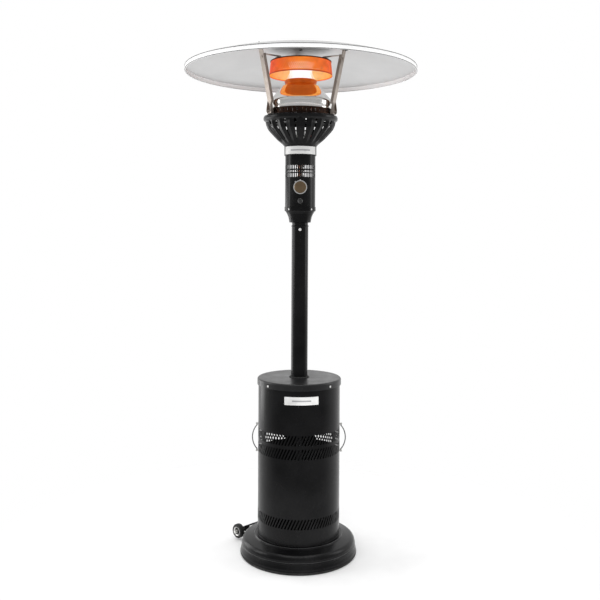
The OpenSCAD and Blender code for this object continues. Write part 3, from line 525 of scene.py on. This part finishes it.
def make_ceiling():
    """The perforated sheet across the drum, under its top."""
    reach = radius_of("emitter_band", low=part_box("emitter_band")[1].z - 0.004) - 0.003
    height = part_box("emitter_band")[1].z - 0.0025
    cell = 0.004
    half = int(reach / cell) + 1
    bm = bmesh.new()
    corners = {}

    def corner(i, j):
        if (i, j) not in corners:
            place = Vector((i * cell, j * cell, 0))
            if place.length > reach:
                place *= reach / place.length
            corners[i, j] = bm.verts.new((place.x, place.y, height))
        return corners[i, j]

    for i in range(-half, half):
        for j in range(-half, half):
            out = math.hypot((i + 0.5) * cell, (j + 0.5) * cell)
            hole = i % 2 and (j + i // 2) % 2 and out < reach - 2 * cell
            if out < reach and not hole:
                bm.faces.new((corner(i, j), corner(i + 1, j), corner(i + 1, j + 1), corner(i, j + 1)))
    bmesh.ops.remove_doubles(bm, verts=bm.verts, dist=MERGE)
    thicken(piece("emitter_ceiling", bm, "stand", "emitter_glow", materials=["emitter_ceiling"]), 0.0008)


def make_flame():
    """The flame that stands between the burner cap and the emitter's top: three nested spools."""
    low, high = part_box("burner_cap")[1].z + 0.002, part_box("emitter_band")[1].z - 0.006
    bm = bmesh.new()
    for reach in (0.064, 0.055, 0.046):
        shares = [k / 10 for k in range(11)]
        outline = [(reach - 0.012 * math.sin(math.pi * k), low + (high - low) * k) for k in shares]

        def lick(turn, height):
            return 0.0022 * math.sin(9 * turn + 120 * height) * math.cos(5 * turn)

        stamp(bm, spin(outline, 72, wobble=lick))
    flame = piece("flame", bm, "stand", "emitter_glow", materials=["flame"])
    flame.visible_glossy = False


def make_reflector_beads():
    """Rolled beads along both edges of the reflector's hem, coloured dark grey as painted shade along those
    edges.
    """
    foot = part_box("reflector")[0].z
    rim = radius_of("reflector")
    bm = bmesh.new()
    for height in (foot + 0.0018, foot + 0.0205):
        stamp(bm, spin(round_section(rim - 0.0004, height, 0.0013), 180))
    piece("reflector_beads", bm, "stand", "reflector_sheet", materials=["reflector_bead"])


def make_cone():
    """The polished cone: a straight face rolled over a soft knee into an upright wall."""
    low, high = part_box("deflector_cone")
    wall, flat = skin_radius("deflector_cone", low.z + 0.02), radius_of("deflector_cone", low=high.z - 0.0005)
    upper, lower = high.z - 0.01, high.z - 0.06
    slope = (skin_radius("deflector_cone", lower) - skin_radius("deflector_cone", upper)) / (upper - lower)
    tilt = math.atan(slope)
    knee = high.z - (wall - flat) / slope
    bend = 0.022
    centre = Vector((wall - bend, knee - bend * math.tan(tilt / 2)))
    outline = [(radius_of("deflector_cone"), low.z), (wall, low.z + 0.005)]
    for k in range(13):
        a = tilt * k / 12
        outline.append((centre.x + bend * math.cos(a), centre.y + bend * math.sin(a)))
    outline += [(flat + 0.0006, high.z - 0.0006), (flat - 0.001, high.z - 0.0001), (0.0215, high.z - 0.0001)]
    cone = piece("polished_cone", spin(outline, 180), "stand", "cone_mirror", ["deflector_cone"], crease=50)
    thicken(cone, 0.001)


def make_studs():
    """The reflector's pointed studs with round nuts above and below it, and the cap nut in its middle."""
    bm = bmesh.new()
    for centre in islands_of("reflector_nuts"):
        low, high = island_span("reflector_nuts", centre)
        foot = Matrix.Translation((centre.x, centre.y, low))
        tall = high - low
        in_middle = centre.xy.length < 0.05
        if in_middle:
            outline = [(0, 0), (0.0068, 0), (0.007, 0.0028), (0.003, 0.0029), (0.003, tall - 0.006),
                       (0.007, tall - 0.0055), (0.0068, tall - 0.0035), (0.0045, tall - 0.001), (0, tall)]
        else:
            outline = [(0, 0), (0.0062, 0), (0.0062, 0.0038), (0.003, 0.0039), (0.003, 0.0125),
                       (0.006, 0.0126), (0.006, 0.019), (0.0036, 0.0195), (0.0036, tall - 0.006),
                       (0.0014, tall), (0, tall)]
        stamp(bm, spin(outline, 24), foot)
    piece("reflector_studs", bm, "stand", "stainless", ["reflector_nuts"], ["reflector_bead"])


# ---- Base ----

def make_base_beads():
    """The pressed cover's rounded edges: round its ledge and above its notch, in a paler enamel that paints a
    highlight along them.
    """
    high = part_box("base_cover")[1]
    notch = 0.0503
    bm = bmesh.new()
    for radius, height in ((radius_of("base_cover", low=high.z - 0.0005), high.z - 0.0006),
                           (skin_radius("base_cover", notch), notch)):
        stamp(bm, spin(round_section(radius, height, 0.0012), 240))
    piece("base_beads", bm, "stand", "black_enamel", materials=["edge_enamel"])


# ---- Burner bowl ----

# Slot, hole and top are heights; the half widths of slot and hole are in degrees.
FLUTES = 20
FLUTE_SLOT = (1.919, 1.979)
FLUTE_HOLE = (1.986, 1.998)
FLUTE_TOP = 2.006
FLUTE_DEPTH = 0.007
SLOT_HALF = 1.1
HOLE_HALF = 1.9


def skin_radius(node, height, turn=0.0):
    """How far from the post's axis a level ray from outside meets a node."""
    out = Vector((math.cos(turn), math.sin(turn), 0))
    met, at, _, _ = NODES[node].ray_cast(out * 0.6 + Vector((0, 0, height)), -out)
    return at.xy.length if met else 0.0


def make_bowl():
    """The pressed bowl: upright pleats with a long slot and a hole in each valley, under a rolled lip."""
    low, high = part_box("burner_bowl")
    levels = [low.z + 0.0008 + (high.z - low.z - 0.0012) * k / 38 for k in range(39)]
    outline = [(0.058, low.z + 0.0003)] + [(skin_radius("burner_bowl", z), z) for z in levels]
    across = [-9, -7.2, -5.4, -3.6, -HOLE_HALF, -SLOT_HALF, SLOT_HALF, HOLE_HALF, 3.6, 5.4, 7.2]
    turns = [math.radians((i + 0.5) * 360 / FLUTES + a) for i in range(FLUTES) for a in across]

    def pleat(turn, height):
        rise = smoothstep((height - low.z - 0.006) / 0.025)
        fall = smoothstep((FLUTE_TOP - height) / 0.014)
        return FLUTE_DEPTH * rise * fall * (0.1 - abs(math.sin(turn * FLUTES / 2)))

    def keep(turn, height):
        off = abs((math.degrees(turn) * FLUTES / 360) % 1 - 0.5) * 360 / FLUTES
        in_slot = FLUTE_SLOT[0] < height < FLUTE_SLOT[1] and off < SLOT_HALF
        hole_half = HOLE_HALF if FLUTE_HOLE[0] < height < FLUTE_HOLE[1] else SLOT_HALF
        in_hole = FLUTE_HOLE[0] - 0.002 < height < FLUTE_HOLE[1] + 0.002 and off < hole_half
        return not (in_slot or in_hole)

    bowl = piece("bowl_pleats", spin(outline, turns, wobble=pleat, keep=keep), "stand", "black_enamel",
                 ["burner_bowl"], crease=28)
    thicken(bowl, 0.0012)


# ---- Knob and igniter ----

KNOB_RIBS = 44


def make_knob():
    """A ribbed knob with a shallow dished face and a raised pointer."""
    low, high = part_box("control_knob")
    radius = (high.x - low.x) / 2
    front = Vector((0, low.y + 0.0015, (low.z + high.z) / 2))
    deep = high.y - front.y
    face = [(0, -0.0008), (radius * 0.6, -0.0006), (radius * 0.88, -0.0001), (radius * 0.93, -0.0002)]
    side = [(radius * 0.97, -0.0009), (radius, -0.0025), (radius, -0.004), (radius, -deep), (0, -deep)]

    def ribs(turn, height):
        return 0.0005 * (math.cos(KNOB_RIBS * turn) - 1) if -deep < height < -0.0035 else 0

    bm = bmesh.new()
    place = facing(front, (0, -1, 0))
    stamp(bm, spin(face + side, 8 * KNOB_RIBS, wobble=ribs), place)
    stamp(bm, block((0.0034, radius - 0.006, 0.0026), (0, (radius - 0.002) / 2 + 0.003, 0), 0.0006), place)
    piece("knob_grip", bm, "knob", "knob_bronze", ["control_knob"])


def make_igniter_ring():
    """A guard ring round the igniter button."""
    low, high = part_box("igniter_body")
    at = Vector((0, low.y, (low.z + high.z) / 2))
    radius = (high.x - low.x) / 2
    ring = round_section(radius - 0.0013, 0, 0.0011)
    piece("igniter_ring", stamp(bmesh.new(), spin(ring, 64), facing(at, (0, -1, 0))), "stand", "bezel_chrome",
          materials=["handle_wire"])


# ---- Wheels ----

TREAD_GROOVES = 30
SPOKES = 6


def make_wheel(side):
    """A solid tyre with grooves across its tread, and a plated hub whose web is coloured dark as painted
    shade in its recess.
    """
    joint = next(j for j in frame["record"]["behaviour"]["joints"] if j["name"] == side + "_wheel_spin")
    place = facing(joint["pos_m"], joint["axis"])
    low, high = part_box(side + "_wheel_tyre")
    radius = (high.z - low.z) / 2
    half = ((high.x - low.x) / math.sqrt(0.5) - 2 * radius) / 2
    bore, shoulder = 0.0212, 0.006

    def rounded(end, share):
        a = math.pi / 2 * share
        return radius - shoulder * (1 - math.sin(a)), end * (half - shoulder * (1 - math.cos(a)))

    outline = [(bore, -half)] + [rounded(-1, k / 5) for k in range(6)]
    outline += [(radius, z * half) for z in (-0.5, -0.2, -0.18, 0.18, 0.2, 0.5)]
    outline += [rounded(1, 1 - k / 5) for k in range(1, 6)] + [(bore, half), (bore, -half)]

    def tread(turn, height):
        across = (turn / TURN * TREAD_GROOVES) % 1 < 0.22
        return -0.0014 if across and 0.003 < abs(height) < half * 0.75 else 0.0

    tyre = stamp(bmesh.new(), spin(outline, 5 * TREAD_GROOVES, wobble=tread), place)
    piece(side + "_tyre", tyre, side + "_wheel", "tyre_rubber", [side + "_wheel_tyre"])
    rim = bore - 0.0003
    wide = half - 0.0002
    ring = closed_ring([(rim, -wide), (rim - 0.0015, -wide - 0.0002), (rim - 0.0042, -wide + 0.003),
                        (rim - 0.0045, -0.003), (rim - 0.0045, 0.003), (rim - 0.0042, wide - 0.003),
                        (rim - 0.0015, wide + 0.0002), (rim, wide)])
    web = closed_ring([(0.0052, -0.0075), (0.0085, -0.0075), (0.0095, -0.003), (rim - 0.0044, -0.003),
                       (rim - 0.0044, 0.003), (0.0095, 0.003), (0.0085, 0.0075), (0.0052, 0.0075)])
    bm = bmesh.new()
    stamp(bm, spin(ring, 96), place)
    # The web takes the dark plastic so the hub's recess reads dark: painted shade in the recess.
    stamp(bm, spin(web, 96), place, slot=1)
    for i in range(SPOKES):
        spoke = block((rim - 0.0135, 0.003, 0.0085), ((rim + 0.0055) / 2, 0, 0), 0.0006)
        stamp(bm, spoke, place @ Matrix.Rotation(TURN * i / SPOKES, 4, "Z"), slot=1)
    piece(side + "_hub", bm, side + "_wheel", "hub_metal", [side + "_wheel_hub"],
          ["hub_metal", "black_plastic"])


# ---- Screws ----

SCREW_GAP = 0.0001
SAME_POINT = 1e-5


def islands_of(node):
    """The middle of each separate solid in a node's mesh."""
    bm = bmesh.new()
    bm.from_mesh(NODES[node].data)
    bmesh.ops.remove_doubles(bm, verts=bm.verts, dist=SAME_POINT)
    bm.verts.index_update()
    seen, centres = set(), []
    for start in bm.verts:
        if start.index in seen:
            continue
        found, todo = [], [start]
        seen.add(start.index)
        while todo:
            v = todo.pop()
            found.append(v.co.copy())
            for edge in v.link_edges:
                w = edge.other_vert(v)
                if w.index not in seen:
                    seen.add(w.index)
                    todo.append(w)
        corners = [Vector(map(f, *found)) for f in (min, max)]
        centres.append((corners[0] + corners[1]) / 2)
    bm.free()
    return centres


def island_span(node, centre, reach=0.02):
    """The lowest and highest point of a node's solid at centre."""
    heights = [v.co.z for v in NODES[node].data.vertices if (v.co.xy - centre.xy).length < reach]
    return min(heights), max(heights)


def make_screws(name, node, body, head, height, shank, reach, seat):
    """Cross-recess screws in place of a node's plain ones, all pointing away from the post's axis."""
    bm = bmesh.new()
    for centre in islands_of(node):
        out = Vector((centre.x, centre.y, 0)).normalized()
        at = out * seat(centre) + Vector((0, 0, centre.z))
        stamp(bm, screw(head(centre), height, shank, reach), facing(at, out))
    piece(name, bm, body, "zinc_steel", [node], ["bright_zinc"])


def make_lid_screws():
    lid = skin_radius("housing_lid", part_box("lid_screws")[0].z + 0.005, math.radians(90)) + SCREW_GAP
    make_screws("lid_screw_heads", "lid_screws", "housing", lambda centre: 0.005, 0.0024, 0.0024, 0.009,
                lambda centre: lid)


def make_head_screws():
    collar = radius_of("head_collar") + SCREW_GAP
    post = radius_of("post_tube", high=1.45) + SCREW_GAP
    collar_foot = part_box("head_collar")[0].z

    def head(centre):
        return 0.0065 if centre.z < collar_foot else 0.0042

    def seat(centre):
        return post if centre.z < collar_foot else collar

    make_screws("head_screw_heads", "head_screws", "stand", head, 0.0026, 0.0021, 0.006, seat)


# ---- Badges and the housing's seam ----

SEAM_HALF = 0.016
SEAM_RIVETS = 14


def curved_bar(radius, turn, half_turn, low, high, deep):
    """A strip round the axis, centred on turn from -Y, standing deep out from radius."""
    steps = 24
    bm = bmesh.new()
    rows = []
    for i in range(steps + 1):
        a = turn - math.pi / 2 + half_turn * (2 * i / steps - 1)
        section = ((radius, low), (radius + deep, low + deep / 2), (radius + deep, high - deep / 2),
                   (radius, high))
        rows.append([bm.verts.new((r * math.cos(a), r * math.sin(a), z)) for r, z in section])
    for here, there in zip(rows, rows[1:]):
        for k in range(4):
            bm.faces.new((here[k], there[k], there[(k + 1) % 4], here[(k + 1) % 4]))
    bm.faces.new(rows[0])
    bm.faces.new(rows[-1][::-1])
    return bm


def make_badge_trim(name, node, body, turn, half_turn):
    """A raised border, a rivet near each end and a plain accent line on a blank badge plate."""
    low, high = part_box(node)
    radius = radius_of(node)
    edge = 0.0022
    bm = bmesh.new()
    for foot in (low.z, high.z - edge):
        stamp(bm, curved_bar(radius, turn, half_turn, foot, foot + edge, 0.0007))
    for side in (-1, 1):
        end = turn + side * (half_turn - edge / radius / 2)
        stamp(bm, curved_bar(radius, end, edge / radius / 2, low.z + edge, high.z - edge, 0.0007))
        a = turn + side * (half_turn - 0.008 / radius) - math.pi / 2
        at = Vector((radius * math.cos(a), radius * math.sin(a), (low.z + high.z) / 2))
        rivet = spin([(0.0019, -0.0002), (0.0018, 0.0004), (0.0011, 0.0009), (0, 0.0011)], 24)
        stamp(bm, rivet, facing(at, (at.x, at.y, 0)))
    middle = (low.z + high.z) / 2
    line = curved_bar(radius, turn, half_turn * 0.55, middle - 0.0032, middle + 0.0032, 0.0004)
    stamp(bm, line, slot=1)
    piece(name, bm, body, "badge_plate", materials=["badge_plate", "badge_accent"])


def make_housing_seam():
    """The rolled shell's lap seam up the back, with its rivets, and a beaded edge at the shell's foot."""
    low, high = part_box("housing_shell")
    radius = radius_of("housing_shell")
    bm = curved_bar(radius, math.pi, SEAM_HALF / radius, low.z + 0.004, high.z - 0.02, 0.001)
    for i in range(SEAM_RIVETS):
        up = 0.03 + (high.z - low.z - 0.08) * i / (SEAM_RIVETS - 1)
        at = Vector((0, radius + 0.001, low.z + up))
        rivet = spin([(0.004, 0), (0.0038, 0.0008), (0.0024, 0.0018), (0, 0.0022)], 24)
        stamp(bm, rivet, facing(at, (0, 1, 0)))
    piece("housing_seam", bm, "housing", "black_enamel")
    bead = spin(round_section(radius + 0.0004, low.z + 0.0022, 0.0016), 180)
    piece("housing_foot_bead", bead, "housing", "black_enamel")


bpy.context.scene.view_settings.view_transform = "Standard"
make_camera()
make_studio()
make_floor()
make_materials()
dress_nodes()
make_emitter()
make_ceiling()
make_flame()
make_cone()
make_studs()
make_reflector_beads()
make_base_beads()
make_bowl()
make_knob()
make_igniter_ring()
make_wheel("left")
make_wheel("right")
make_lid_screws()
make_head_screws()
make_badge_trim("housing_badge_trim", "housing_badge", "housing",
                turn=math.radians(3.5), half_turn=math.radians(23.4))
make_badge_trim("neck_badge_trim", "neck_badge", "stand", turn=0.0, half_turn=math.radians(65))
make_housing_seam()
